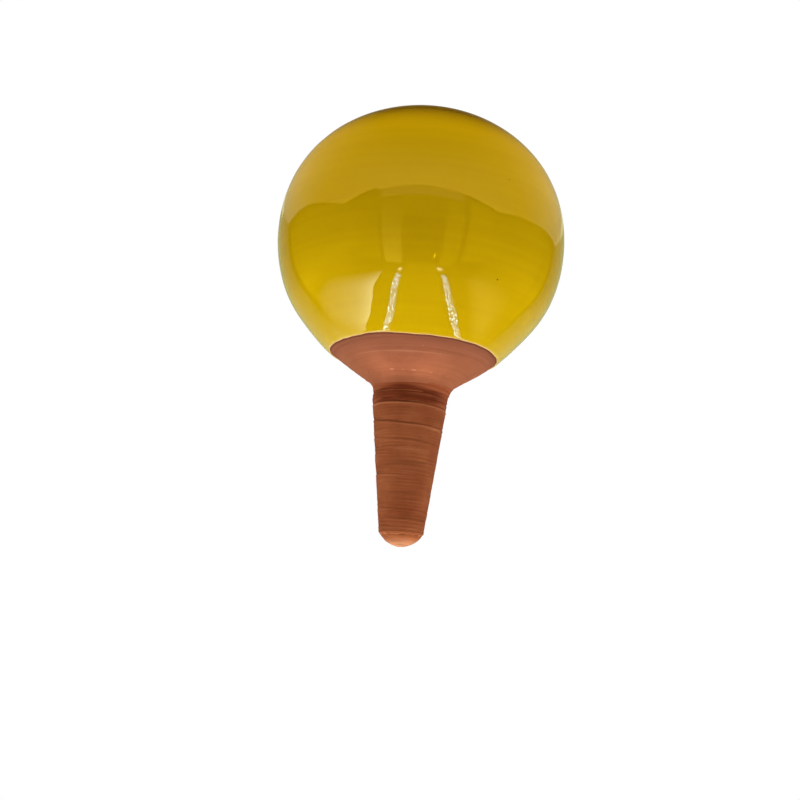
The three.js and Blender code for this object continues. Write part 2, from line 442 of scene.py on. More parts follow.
left_cloth = floor_part("low_left_cloth", -0.81, -0.25, -0.38, 0.45, 5.6, PALE_TINT)
fading(left_cloth, "X", 0, 9.0, 0.24)
left_ramps = (0.67, 1, -0.54, -0.39, 0), (1, 0, -0.74, -0.38, 0), (0.82, 1, -0.15, -0.27, 0.35)
dimmed(left_cloth, *left_ramps)
right_cloth = floor_part("low_right_cloth", 0.28, 0.78, -0.36, 0.36, 1.9, CLOTH_TINT)
fading(right_cloth, "X", 1, 1.6)
right_ramps = (1, 0, 0.28, 0.39, 0), (0, 1, 0.18, 0.04, 0.2), (0, 1, -0.36, -0.2, 0)
dimmed(right_cloth, *right_ramps)
fading(floor_part("low_front_cloth", -0.11, 0.13, -0.55, -0.05, 0.6, WARM), "Y", 0, 0.3)
for name, *edges in (
    ("left_lamp_cap", -0.156, -0.112, -0.452, -0.378),
    ("right_lamp_cap", 0.119, 0.191, -0.494, -0.418),
):
    fading(floor_part(name, *edges, CAP_GLOW, CAP_TINT), "X", 0.5, 1.0, blur=CAP_BLUR)
print("cloths and lamp caps lie", -FLOOR_LEVEL, "m below the globe's middle")

# %% Dotted lamp strips
STRIP_WIDE = 0.035
STRIP_GLOW = 22
STRIP_TINT = (0.58, 0.95, 1)
STRIP_GAP = 0.025
STRIP_BACK = 0.2
BEND_FROM, BEND_TO = -0.235, -0.085
DOT_ACROSS = STRIP_WIDE / 2.3
DOT_ALONG = 0.0135
DOT_GROWTH = 0.11
GROWTH_AT = -0.22
DOT_CORE, DOT_EDGE = 0.22, 0.28
DOT_SCATTER = 0.6


def dotted_strip(name, start, lean, front):
    reach = lean * (BEND_TO - BEND_FROM)
    left, right = sorted((start, start + reach))
    edges = (left - STRIP_WIDE / 2, right + STRIP_WIDE / 2, front, STRIP_BACK)
    tree, spot, lamp = glow_tree(floor_part(name, *edges, STRIP_GLOW, STRIP_TINT))
    place = split(tree, spot["Position"])
    bent = map_range(tree, place["Y"], BEND_FROM, BEND_TO, start, start + reach)
    across = math_node(tree, "SUBTRACT", place["X"], bent)
    column = math_node(tree, "DIVIDE", across, DOT_ACROSS)
    near = math_node(tree, "SUBTRACT", place["Y"], GROWTH_AT)
    even = math_node(tree, "DIVIDE", math_node(tree, "MAXIMUM", near, 0.0), DOT_ALONG)
    ahead = math_node(tree, "MAXIMUM", math_node(tree, "MULTIPLY", near, -DOT_GROWTH / DOT_ALONG), 0.0)
    grown = math_node(tree, "LOGARITHM", math_node(tree, "ADD", ahead, 1.0), math.e)
    row = math_node(tree, "SUBTRACT", even, math_node(tree, "DIVIDE", grown, DOT_GROWTH))
    grid = add_node(tree, "ShaderNodeCombineXYZ", {"X": column, "Y": row}).outputs[0]
    cells = {"Vector": grid, "Scale": 1.0, "Randomness": DOT_SCATTER}
    dots = add_node(tree, "ShaderNodeTexVoronoi", cells, voronoi_dimensions="2D").outputs["Distance"]
    inside = math_node(tree, "LESS_THAN", math_node(tree, "ABSOLUTE", across), STRIP_WIDE / 2)
    lit = map_range(tree, dots, DOT_CORE, DOT_EDGE, 1, STRIP_GAP)
    tree.links.new(math_node(tree, "MULTIPLY", lit, inside), lamp["Strength"])


dotted_strip("left_strip", -0.129, -0.06, -0.352)
dotted_strip("right_strip", 0.162, 0.32, -0.378)
print("tent lights:", len(bpy.data.lights))

# %% [markdown]
# ## Turning a skin
#
# A potter's wheel makes everything here, so each piece is a stack of rings. A Screw modifier on a drawn
# outline would do for a perfect lathe shape, but hand-made clay isn't perfect: a glaze line rises and dips
# and a groove climbs. So a piece is a table of radii and heights, one row for each ring and one column for
# each angle round the axis, and any number in the table can be nudged before the quads are laid.

# %% Angles and slopes
PHOTO_SIDE = -np.pi / 2


def ring_angles(columns):
    return np.linspace(-np.pi, np.pi, columns, endpoint=False)[None, :]


def turn_from(angle, middle):
    return (angle - middle + np.pi) % (2 * np.pi) - np.pi


def round_from(angle, degrees):
    return turn_from(angle, PHOTO_SIDE + np.radians(degrees))


def bell(values, width):
    return np.exp(-((values / width) ** 2))


def ramp(values, start, end):
    t = np.clip((values - start) / (end - start), 0, 1)
    return t * t * (3 - 2 * t)


def turned(points, columns):
    return [np.repeat(line[:, None], columns, 1) for line in np.array(points).T]


print("four columns would stand at", np.degrees(ring_angles(4))[0], "degrees round the axis")

# %% Skin helpers


def ring_faces(rows, columns, on_axis):
    ahead = np.roll(np.arange(columns), -1)
    here = np.arange(columns)
    faces = []
    if on_axis:
        rings = rows - 2
        last = 1 + rings * columns
        faces += [[0, 1 + b, 1 + a] for a, b in zip(here, ahead)]
        top = 1 + (rings - 1) * columns
        faces += [[last, top + a, top + b] for a, b in zip(here, ahead)]
        pairs = [(1 + i * columns, 1 + (i + 1) * columns) for i in range(rings - 1)]
    else:
        pairs = [(i * columns, (i + 1) % rows * columns) for i in range(rows)]
    for low, high in pairs:
        faces += np.stack([low + here, low + ahead, high + ahead, high + here], 1).tolist()
    return faces


def skin(name, parts, finish, **marks):
    radius, height = (np.vstack(lines) for lines in zip(*parts))
    rows, columns = radius.shape
    angle = ring_angles(columns)
    points = np.stack([radius * np.cos(angle), radius * np.sin(angle), height], -1)
    on_axis = not radius[0].any()
    order = np.arange(rows * columns).reshape(rows, columns)
    if on_axis:
        order = np.concatenate([order[0, :1], order[1:-1].ravel(), order[-1, :1]])
    order = order.ravel()
    mesh = bpy.data.meshes.new(name)
    mesh.from_pydata(points.reshape(-1, 3)[order].tolist(), [], ring_faces(rows, columns, on_axis))
    mesh.polygons.foreach_set("use_smooth", [True] * len(mesh.polygons))
    for mark, values in marks.items():
        layer = mesh.attributes.new(mark, "FLOAT", "POINT")
        spread = np.broadcast_to(values, radius.shape).ravel()[order]
        layer.data.foreach_set("value", spread.astype(np.float32))
    mesh.materials.append(finish)
    return put(name, mesh)


def settle(piece, body, node):
    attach(piece, body)
    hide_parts(node)
    print(f"{piece.name}: {len(piece.data.polygons)} faces, stands for {node}")


print("skin helpers ready")

# %% [markdown]
# ## Outlines that can be followed
#
# Coats lie on the clay's face, so they need to know where the face is and which way is off it. An outline
# is a list of points in radius and height. Following it gives any place along it, at any distance off the
# clay.

# %% Outline helpers
CORNER_STEPS = 9


def soft_corner(before, corner, after, size):
    before, corner, after = (np.array(p, float) for p in (before, corner, after))
    start = corner + size * (before - corner) / np.linalg.norm(before - corner)
    end = corner + size * (after - corner) / np.linalg.norm(after - corner)
    t = np.linspace(0, 1, CORNER_STEPS)[:, None]
    return (1 - t) ** 2 * start + 2 * t * (1 - t) * corner + t**2 * end


def lengths_along(points):
    return np.concatenate([[0], np.cumsum(np.hypot(*np.diff(points, axis=0).T))])


def follow(points):
    along = lengths_along(points)
    slope = np.gradient(points, along, axis=0)
    off = np.column_stack([slope[:, 1], -slope[:, 0]])
    off /= np.linalg.norm(off, axis=1)[:, None]

    def place(distance, lift=0.0):
        r, z, off_r, off_z = (np.interp(distance, along, line) for line in (*points.T, *off.T))
        return r + off_r * lift, z + off_z * lift

    return place, along[-1]


print("corners have", CORNER_STEPS, "points each")

# %% Curves of the pot
CURVE_STEPS = 60


def spike_radius(z):
    return neck_radius + spike_slope * z


def belly_points(depth):
    across, down = clay_radius + depth, BELLY_DROP + depth
    start = math.atan2(down * math.sin(SHOULDER_ANGLE), across * math.cos(SHOULDER_ANGLE))
    a = np.linspace(start, 0, CURVE_STEPS)
    return np.column_stack([across * np.cos(a), globe_mid_z - down * np.sin(a)])


def crown_points(depth):
    across, up = clay_radius + depth, CROWN_RISE + depth
    end = math.acos((CROWN_FLAT_RADIUS / across) ** (CROWN_FULLNESS / 2))
    a = np.linspace(0, end, CURVE_STEPS + 1)[1:]
    power = 2 / CROWN_FULLNESS
    return np.column_stack([across * np.cos(a) ** power, globe_mid_z + up * np.sin(a) ** power])


print(f"the spike narrows from {neck_radius / MM:.1f} to {TIP_RADIUS / MM:.1f} mm in radius")

# %% The neck's outline
COVE_REACH = 3.6 * MM
BELLY_EASE = 0.93 * MM
BELLY_EASE_AT = 24 * MM
BELLY_EASE_SPAN = 8.3 * MM

belly = belly_points(0)
belly[:, 0] -= BELLY_EASE * bell(belly[:, 1] - BELLY_EASE_AT, BELLY_EASE_SPAN)
spike_end = (spike_radius(tip_z), tip_z)
neck_corner = (spike_radius(NECK_COLLAR), NECK_COLLAR)
cove = soft_corner(spike_end, neck_corner, belly[0], COVE_REACH)
neck_line = np.vstack([spike_end, cove, belly[0]])


def neck_face(z):
    return np.interp(z, neck_line[:, 1], neck_line[:, 0])


print(f"the neck's cove starts {cove[0, 1] / MM:.1f} mm above the soil line")

# %% The globe's outer outline
CROWN_EDGE_SOFTNESS = 1.9 * MM
DISH_EDGE_SOFTNESS = 1.8 * MM
MOUTH_SOFTNESS = 0.8 * MM

dish_z = crown_z - DISH_DEPTH
ceiling_z = dish_z - THROAT_LENGTH
crown = crown_points(0)
neck_start = (neck_face(seat_z), seat_z)
fillet = cove[cove[:, 1] > seat_z]
dish_rim = (DISH_RADIUS, crown_z)
mouth = (THROAT_RADIUS, dish_z)
throat_end = (THROAT_RADIUS - THROAT_LENGTH * math.tan(THROAT_TAPER), ceiling_z)
crown_edge = soft_corner(crown[-8], crown[-1], dish_rim, CROWN_EDGE_SOFTNESS)
crown_body = crown[crown[:, 0] > crown_edge[0, 0]]
dish_edge = soft_corner(crown[-1], dish_rim, mouth, DISH_EDGE_SOFTNESS)
mouth_edge = soft_corner(dish_rim, mouth, throat_end, MOUTH_SOFTNESS)
crown_part = [crown_body, crown_edge, dish_edge, mouth_edge, throat_end]
outer = np.vstack([neck_start, fillet, belly, *crown_part])
on_wall, wall_length = follow(outer)
wall_along = lengths_along(outer)
low_part = slice(len(fillet) + 3)


def along_at(z):
    return np.interp(z, outer[low_part, 1], wall_along[low_part])


belly_start = along_at(belly[0, 1])
mouth_at = wall_length - np.hypot(*(np.array(throat_end) - mouth_edge[0]))
rim_from, rim_to = wall_along[-3 * CORNER_STEPS - 1], wall_along[-CORNER_STEPS - 2]
print(f"the clay's face is {wall_length / MM:.1f} mm long from neck to throat")

# %% [markdown]
# ## The potter's hand
#
# Turned clay is never quite even: rings sit a little high or low and grooves fade in and out. Random noise
# for each point would look like sandpaper. Instead a few long waves are drawn from a fixed seed, so the
# unevenness is smooth and is the same each time the script runs.

# %% Seeded waves
WAVE_STRETCH = (0.6, 1.6)


def hand_waves(angle, along, seed, most_turns, length, count=10):
    draw = np.random.default_rng(seed)
    total = 0
    for _ in range(count):
        turns = draw.integers(0, most_turns + 1)
        wave = 2 * np.pi / length * draw.uniform(*WAVE_STRETCH) * draw.choice([-1, 1])
        total = total + np.cos(turns * angle + wave * along + draw.uniform(0, 2 * np.pi))
    return total / math.sqrt(count)


def edge_waves(angle, seed, least_turns, most_turns, count=8):
    draw = np.random.default_rng(seed)
    total = 0
    for _ in range(count):
        turns = draw.integers(least_turns, most_turns + 1)
        total = total + np.cos(turns * angle + draw.uniform(0, 2 * np.pi))
    return total / math.sqrt(count)


print("a wave's steepness is drawn between these shares of the one asked for:", WAVE_STRETCH)

# %% Seeded grooves
GROOVE_LEAN = 0.35 * MM
GROOVE_DEPTHS, GROOVE_WIDTHS = (0.3, 1.0), (0.7, 1.5)


def fine_grooves(angle, along, seed, start, end, count, depth, width, spans=(0.5, 2.4)):
    draw = np.random.default_rng(seed)
    total = 0
    for _ in range(count):
        middle = draw.uniform(start, end)
        lean = draw.normal(0, GROOVE_LEAN)
        facing = draw.uniform(-np.pi, np.pi)
        span = draw.uniform(*spans)
        deep = depth * draw.uniform(*GROOVE_DEPTHS)
        wide = width * draw.uniform(*GROOVE_WIDTHS)
        off = turn_from(angle, facing)
        line = along - middle - lean * np.sin(off)
        total = total - deep * np.exp(-((line / wide) ** 2) - (off / span) ** 4)
    return total


print(f"grooves lean by about {GROOVE_LEAN / MM:.2f} mm")

# %% A neck that isn't round
# Each bulge or dent: its side (-1 left, 1 right), and in millimetres its height, its span and how far out.
NECK_BULGES = ((-1, 3.4, 4.4, -0.9), (1, 11.6, 4.5, 1.05), (1, -2.0, 3.0, -0.33))


def neck_bulge(z, angle):
    total = 0
    for side, middle, span, out in NECK_BULGES:
        sideways = np.clip(side * np.cos(angle), 0, 1) ** 2
        total = total + out * MM * sideways * bell(z / MM - middle, span)
    return total


def clay_face(z, angle):
    return neck_face(z) + neck_bulge(z, angle)


print("bulges and dents at the neck:", len(NECK_BULGES))

# %% [markdown]
# ## Effects that several finishes share
#
# Three effects come back from finish to finish: thin lines left by the wheel, cloudy colour from the
# kiln, and grit in the clay. Each finish could hold its own copy of their nodes. Here each effect is
# one node group, which is placed in a finish with that finish's own values. The first input of a group
# is a length, and one over it is how often the pattern comes back.

# %% Effect helpers


def noise(tree, place, scale, detail):
    sockets = {"Vector": place, "Scale": scale, "Detail": detail}
    return add_node(tree, "ShaderNodeTexNoise", sockets).outputs["Fac"]


def new_effect(name, output, **inputs):
    group = bpy.data.node_groups.new(name, "ShaderNodeTree")
    for label, value in inputs.items():
        socket = group.interface.new_socket(label, in_out="INPUT", socket_type="NodeSocketFloat")
        socket.default_value = value
    group.interface.new_socket(output, in_out="OUTPUT", socket_type="NodeSocketFloat")
    given = group.nodes.new("NodeGroupInput").outputs
    wanted = group.nodes.new("NodeGroupOutput").inputs[0]
    rate = math_node(group, "DIVIDE", 1.0, given[0])
    print(f"effect {name}: {', '.join(inputs)} in, {output} out")
    return group, given, wanted, rate


print("each effect starts as an empty group with its inputs")

# %% Wheel lines group
LINE_LOW, LINE_HIGH = 0.33, 0.67
wheel_lines, given, wanted, rate = new_effect("wheel_lines", "Line", Spacing=0.001, Drift=10.0)
stretch = {"X": given["Drift"], "Y": given["Drift"], "Z": rate}
stretch = add_node(wheel_lines, "ShaderNodeCombineXYZ", stretch).outputs[0]
drawn = vector_math(wheel_lines, "MULTIPLY", object_place(wheel_lines), stretch)
grain = noise(wheel_lines, drawn, 1.0, 3.0)
wheel_lines.links.new(map_range(wheel_lines, grain, LINE_LOW, LINE_HIGH, 0, 1), wanted)

# %% Kiln cloud group
CLOUD_LOW, CLOUD_HIGH = 0.3, 0.7
kiln_cloud, given, wanted, rate = new_effect("kiln_cloud", "Cloud", Size=0.02)
grain = noise(kiln_cloud, object_place(kiln_cloud), rate, 4.0)
kiln_cloud.links.new(map_range(kiln_cloud, grain, CLOUD_LOW, CLOUD_HIGH, 0, 1), wanted)

# %% Grit group
grit, given, wanted, rate = new_effect("grit", "Grit", Spacing=0.002, Share=0.3, Size=0.2)
cells = {"Vector": object_place(grit), "Scale": rate}
cells = add_node(grit, "ShaderNodeTexVoronoi", cells).outputs
pick = add_node(grit, "ShaderNodeSeparateColor", {"Color": cells["Color"]}).outputs[0]
kept = math_node(grit, "LESS_THAN", pick, given["Share"])
half_size = math_node(grit, "MULTIPLY", given["Size"], 0.5)
dot = map_range(grit, cells["Distance"], given["Size"], half_size, 0, 1)
grit.links.new(math_node(grit, "MULTIPLY", kept, dot), wanted)

# %% [markdown]
# ## Bare terracotta
#
# The spike and the shoulder are unglazed, low-fired clay: matt, orange-brown, cloudy, with a little grit.
# Crests are paler, partly from wear and partly as painted highlight, and grooves are darker, partly from
# dust and partly as painted shade. Each piece could be painted by itself, but one recipe with other
# colours each time keeps all the bare clay alike. How high a point stands above its surroundings is
# stored on the mesh as relief, so crests and grooves can take their own tone. A second mark, thick, says
# how much of a piece's own colour shows under a colour laid over it: smeared clay, and on the globe's
# shoulder painted shade and slip.

# %% Finish helpers


def use_group(tree, group, **values):
    made = tree.nodes.new("ShaderNodeGroup")
    made.node_tree = group
    for label, value in values.items():
        made.inputs[label].default_value = value
    return made.outputs[0]


def mesh_mark(tree, name):
    return add_node(tree, "ShaderNodeAttribute", attribute_name=name).outputs["Fac"]


# Each layer: what places it, the range that is read, its share at the range's ends, and its colour.
def layered(tree, colour, layers):
    for source, low, high, start, end, tint in layers:
        colour = mix_colours(tree, map_range(tree, source, low, high, start, end), colour, tint)
    return colour


def cover(tree, shader, colour, roughness, height, strength, depth):
    bump = add_node(tree, "ShaderNodeBump", {"Strength": strength, "Distance": depth, "Height": height})
    tree.links.new(colour, shader.inputs["Base Color"])
    tree.links.new(roughness, shader.inputs["Roughness"])
    tree.links.new(bump.outputs["Normal"], shader.inputs["Normal"])


print("a finish is a colour with layers, a roughness and a bump")

# %% Terracotta recipe
LINE_DRIFT, LINE_HEIGHT = 70.0, 1.4
FLECKS = {"Spacing": 0.0016, "Share": 0.16, "Size": 0.26}
# How much of the deep colour is left in the grooves, darkened by dust and painted shade.
HOLLOW_DUST_AND_SHADE = 0.45
TOOTH_SCALE = 2600.0
CLAY_BUMP, CLAY_BUMP_DEPTH = 0.35, 0.12 * MM
CLAY_SHEEN = 0.1


def clay_finish(
    name, deep, body, pale, line_space, line_tone=0.3, cloud_size=0.012, blush=None, laid_over=None
):
    finish, tree, shader = new_finish(name)
    place = object_place(tree)
    cloud = use_group(tree, kiln_cloud, Size=cloud_size)
    lines = use_group(tree, wheel_lines, Spacing=line_space, Drift=LINE_DRIFT)
    fleck = use_group(tree, grit, **FLECKS)
    relief = mesh_mark(tree, "relief")
    colour = mix_colours(tree, cloud, deep, body)
    if blush:
        tint, start, end = blush
        colour = layered(tree, colour, [(split(tree, place)["Z"], start, end, 0, 1, tint)])
    colour = layered(tree, colour, [
        (lines, 0, 1, line_tone, 0, deep),
        # Paler crests: wear and painted highlight.
        (relief, 0.05, 0.6, 0, 0.75, pale),
        # Darker grooves: dust and painted shade.
        (relief, -0.1, -0.9, 0, 0.8, tuple(HOLLOW_DUST_AND_SHADE * c for c in deep)),
        (fleck, 0, 1, 0, 0.1, pale),
    ])
    # On the globe the laid-over colour is painted shade at the shoulder's sides and slip with painted shade
    # just above the neck.
    if laid_over:
        colour = mix_colours(tree, mesh_mark(tree, "thick"), laid_over, colour)
    tooth = noise(tree, place, TOOTH_SCALE, 2.0)
    height = math_node(tree, "ADD", math_node(tree, "MULTIPLY", lines, LINE_HEIGHT), tooth)
    roughness = map_range(tree, cloud, 0, 1, 0.92, 0.8)
    cover(tree, shader, colour, roughness, height, CLAY_BUMP, CLAY_BUMP_DEPTH)
    shader.inputs["Specular IOR Level"].default_value = CLAY_SHEEN
    return finish


print("one recipe for all the bare clay")

# %% Bare clay finishes
globe_clay = clay_finish(
    "terracotta_body",
    deep=(0.37, 0.108, 0.048),
    body=(0.57, 0.178, 0.077),
    pale=(0.74, 0.36, 0.2),
    line_space=0.0007,
    blush=((0.262, 0.082, 0.041), 6 * MM, 14 * MM),
    # Painted shade at the shoulder's sides, and slip with painted shade just above the neck.
    laid_over=(0.275, 0.086, 0.036),
)
spike_clay = clay_finish(
    "terracotta_spike",
    deep=(0.272, 0.063, 0.02),
    body=(0.42, 0.125, 0.044),
    pale=(0.54, 0.2, 0.088),
    line_space=0.0006,
    line_tone=0.24,
)
slip_clay = clay_finish(
    "fired_slip",
    deep=(0.145, 0.025, 0.007),
    body=(0.235, 0.045, 0.012),
    pale=(0.4, 0.12, 0.045),
    line_space=0.0009,
    line_tone=0.5,
    laid_over=(0.365, 0.092, 0.033),
)
wad_clay = clay_finish(
    "scraped_clay",
    deep=(0.32, 0.082, 0.025),
    body=(0.45, 0.138, 0.044),
    pale=(0.66, 0.3, 0.17),
    line_space=0.0011,
    cloud_size=0.005,
    blush=((0.6, 0.26, 0.125), -53.2 * MM, -56 * MM),
    laid_over=(0.32, 0.087, 0.029),
)
print("bare clay finishes:", globe_clay.name, spike_clay.name, slip_clay.name, wad_clay.name)

# %% [markdown]
# ## Golden glaze
#
# The globe's glaze is opaque glass: strongly golden, glossy, and paler where it thins out at its lower
# edge. Round the crown it turns dark brown, which is painted shade. Faint bands from the wheel show
# through, and a few pinholes stay where bubbles burst. A single yellow would look like plastic, so the
# colour moves with height, with the bands and with the edge.

# %% Glaze recipe
LEMON, GOLD, AMBER = (0.62, 0.4, 0.001), (0.6, 0.36, 0.001), (0.6, 0.33, 0.001)
# The first colour on the next line is painted shade, the dark brown laid round the crown.
CROWN_SHADE_BROWN, BUTTER = (0.2, 0.1, 0.002), (0.76, 0.5, 0.08)
LINE_BROWN, HOLE_BROWN = (0.46, 0.24, 0.001), (0.1, 0.05, 0.005)
# Where the painted shade round the crown begins, where it is full, and how fast it grows.
CROWN_SHADE_FROM, CROWN_SHADE_TO, CROWN_SHADE_POWER = 85 * MM, 97 * MM, 1.5
GLAZE_BUMP, GLAZE_BUMP_DEPTH, BAND_HEIGHT = 0.2, 0.1 * MM, 0.3
GLASS_INDEX = 1.5
glaze_finish, tree, shader = new_finish("golden_glaze")
place = object_place(tree)
z = split(tree, place)["Z"]
climb = map_range(tree, z, glaze_low_z, glaze_top_z, 0, 1)
cloud = use_group(tree, kiln_cloud, Size=0.03)
broad = use_group(tree, wheel_lines, Spacing=0.006, Drift=5.0)
fine = use_group(tree, wheel_lines, Spacing=0.0014, Drift=9.0)
hole = use_group(tree, grit, Spacing=0.011, Share=0.1, Size=0.03)
# Painted shade: the glaze darkens towards brown round the crown.
crown_shade = math_node(tree, "POWER", map_range(tree, z, CROWN_SHADE_FROM, CROWN_SHADE_TO, 0, 1), CROWN_SHADE_POWER)
colour = mix_colours(tree, map_range(tree, climb, 0.0, 0.5, 0, 1), LEMON, GOLD)
colour = layered(tree, colour, [
    (climb, 0.55, 0.95, 0, 1, AMBER),
    (cloud, 0, 1, 0, 0.25, AMBER),
    (broad, 0, 1, 0, 0.24, LEMON),
    (fine, 0, 1, 0.11, 0, LINE_BROWN),
    (crown_shade, 0, 1, 0, 0.95, CROWN_SHADE_BROWN),
    (mesh_mark(tree, "edge"), 0, 1, 0.5, 0, BUTTER),
])
print("glaze from", LEMON, "through", GOLD, "to", CROWN_SHADE_BROWN)

# %% Pinholes and gloss
# Each pinhole: its place and its radius, in metres.
PINHOLES = ((0.0271, -0.0402, 0.0339, 0.00024), (0.029, -0.046, 0.0683, 0.00016))
PINHOLE_EDGE = 1.6
for *spot, size in PINHOLES:
    away = vector_math(tree, "DISTANCE", place, spot)
    dark = map_range(tree, away, size, PINHOLE_EDGE * size, 1, 0)
    hole = math_node(tree, "MAXIMUM", hole, dark)
colour = mix_colours(tree, hole, colour, HOLE_BROWN)
height = math_node(tree, "SUBTRACT", math_node(tree, "MULTIPLY", broad, BAND_HEIGHT), hole)
roughness = map_range(tree, cloud, 0, 1, 0.015, 0.035)
cover(tree, shader, colour, roughness, height, GLAZE_BUMP, GLAZE_BUMP_DEPTH)
shader.inputs["IOR"].default_value = GLASS_INDEX
print("pinholes with a place of their own:", len(PINHOLES))

# %% [markdown]
# ## Cream engobe
#
# Engobe is pale liquid clay that is brushed on under a glaze, so that red clay doesn't dull the colour. It
# is matt, a little blotchy and flecked, and only a thread of it is seen. A plain cream would do at a
# distance. The shared cloud and grit keep the thread from looking drawn.

# %% Engobe recipe
ENGOBE_BUMP, ENGOBE_BUMP_DEPTH = 0.3, 0.1 * MM
engobe_finish, tree, shader = new_finish("cream_engobe")
cloud = use_group(tree, kiln_cloud, Size=0.004)
fleck = use_group(tree, grit, Spacing=0.0012, Share=0.25, Size=0.3)
colour = mix_colours(tree, cloud, (0.68, 0.4, 0.12), (0.8, 0.52, 0.2))
colour = layered(tree, colour, [(fleck, 0, 1, 0, 0.5, (0.45, 0.2, 0.09))])
roughness = map_range(tree, cloud, 0, 1, 0.75, 0.55)
cover(tree, shader, colour, roughness, cloud, ENGOBE_BUMP, ENGOBE_BUMP_DEPTH)
print("coats:", glaze_finish.name, engobe_finish.name)

# %% [markdown]
# ## Natural cork
#
# The stopper is punched from bark: honey brown, with growth bands and dark pores that run through it. A
# picture of cork could be wrapped round it, but the sides and the top wouldn't meet. The pores are the
# same grit effect as in the clay, at a larger scale, over soft bands, so they run on from the sides to
# the top.

# %% Cork recipe
CORK_BUMP, CORK_BUMP_DEPTH, CLOUD_HEIGHT = 0.5, 0.3 * MM, 0.6
CORK_SHEEN = 0.2
cork_finish, tree, shader = new_finish("natural_cork")
cloud = use_group(tree, kiln_cloud, Size=0.005)
bands = use_group(tree, wheel_lines, Spacing=0.0016, Drift=160.0)
pores = use_group(tree, grit, Spacing=0.0021, Share=0.45, Size=0.36)
dust = use_group(tree, grit, Spacing=0.0008, Share=0.4, Size=0.32)
colour = mix_colours(tree, cloud, (0.42, 0.22, 0.09), (0.6, 0.37, 0.18))
colour = layered(tree, colour, [
    (bands, 0, 1, 0.35, 0, (0.36, 0.17, 0.07)),
    (dust, 0, 1, 0, 0.5, (0.3, 0.14, 0.06)),
    (pores, 0, 1, 0, 0.8, (0.13, 0.055, 0.025)),
    (mesh_mark(tree, "relief"), -0.1, -0.8, 0, 0.85, (0.1, 0.04, 0.02)),
])
height = math_node(tree, "SUBTRACT", math_node(tree, "MULTIPLY", cloud, CLOUD_HEIGHT), pores)
roughness = map_range(tree, cloud, 0, 1, 0.95, 0.8)
cover(tree, shader, colour, roughness, height, CORK_BUMP, CORK_BUMP_DEPTH)
shader.inputs["Specular IOR Level"].default_value = CORK_SHEEN
print("stopper finish:", cork_finish.name)

# %% [markdown]
# ## Where the coats end
#
# The globe was coated by hand, so the coats' lower edge wavers round the shoulder. It lies higher across
# the whole front than at the back, and lifts once more a little left of the front. Clay, engobe and glaze
# all need that line. It could be drawn as a curve, but a function of the angle round the axis is easier to
# follow: a broad rise, a small lift, both with soft ends, and seeded waves.

# %% The wavering edge
EDGE_LIFT = 0.5 * MM
EDGE_LIFT_FROM, EDGE_LIFT_TO = -36, -11
EDGE_LIFT_EASE = math.radians(5)
EDGE_RAISE = 0.62 * MM
EDGE_RAISE_MIDDLE = -24
EDGE_RAISE_HALF, EDGE_RAISE_EASE = math.radians(86), math.radians(9)
EDGE_WAVES, EDGE_RIPPLES = 0.1 * MM, 0.06 * MM
glaze_edge_at = belly_start


def edge_line(angle):
    begun = np.tanh(round_from(angle, EDGE_LIFT_FROM) / EDGE_LIFT_EASE)
    ended = np.tanh(round_from(angle, EDGE_LIFT_TO) / EDGE_LIFT_EASE)
    in_front = np.abs(round_from(angle, 0)) < np.pi / 2
    off = np.abs(round_from(angle, EDGE_RAISE_MIDDLE))
    raised = 1 + np.tanh((EDGE_RAISE_HALF - off) / EDGE_RAISE_EASE)
    lift = EDGE_LIFT / 2 * (begun - ended) * in_front + EDGE_RAISE / 2 * raised
    return lift + EDGE_WAVES * edge_waves(angle, 21, 2, 6) + EDGE_RIPPLES * edge_waves(angle, 22, 14, 38)


print(f"the coats end {glaze_edge_at / MM:.1f} mm up the clay's face")

# %% [markdown]
# ## The globe
#
# The thrown reservoir shows as the bare shoulder under the glaze, with fine turning rings and one worn
# ring near the neck, and as bare clay in the throat. A groove under the coats is darkened as painted shade.
# Just above the neck the clay darkens from slip wiped up from the joint and from painted shade, and at
# the two sides of the shoulder the darkening climbs higher as painted shade alone. Bump alone could fake
# the rings, but rings in the mesh hold in a close view. Rows lie close together where the clay shows and
# far apart where the coats cover it. The inside follows the CAD wall, so the shell stays closed and hollow.

# %% Rings on the shoulder
GLOBE_COLUMNS = 336
RELIEF_UNIT = 0.3 * MM
WORN_RING, WORN_LEAN = 5.55 * MM, 0.7 * MM
WORN_HEIGHT, WORN_WIDTH = 0.18 * MM, 0.34 * MM
ENGOBE_SHOW = 0.35 * MM
# A groove right under the coats, which the clay's hollow tone darkens as painted shade.
SHADE_GROOVE_BELOW, SHADE_GROOVE_DEPTH, SHADE_GROOVE_WIDTH = 0.4 * MM, 0.3 * MM, 0.36 * MM
BARE_SPACING, COVERED_SPACING, THROAT_ROWS = 0.3 * MM, 3 * MM, 20
bare_rows = np.arange(0, glaze_edge_at + 4 * MM, BARE_SPACING)
covered_rows = np.arange(glaze_edge_at + 5 * MM, mouth_at - 6 * MM, COVERED_SPACING)
throat_rows = np.linspace(mouth_at - 4 * MM, wall_length, THROAT_ROWS)
along = np.concatenate([bare_rows, covered_rows, throat_rows])[:, None]
angle = ring_angles(GLOBE_COLUMNS)
rings = fine_grooves(angle, along, 11, 3 * MM, glaze_edge_at, 60, 0.05 * MM, 0.32 * MM)
rings = rings + 0.03 * MM * hand_waves(angle, along, 12, 2, 4 * MM)
worn_line = along_at(WORN_RING) - WORN_LEAN * np.sin(round_from(angle, 0))
broken = np.clip(0.8 * edge_waves(angle, 13, 10, 34), 0, 1)
rings = rings + WORN_HEIGHT * bell(along - worn_line, WORN_WIDTH) * broken
shown = np.clip((glaze_edge_at - along) / MM, 0, 1) * np.clip(along / MM, 0, 1)
shown = shown + np.clip((along - mouth_at + 3 * MM) / (2 * MM), 0, 1) * 0.5
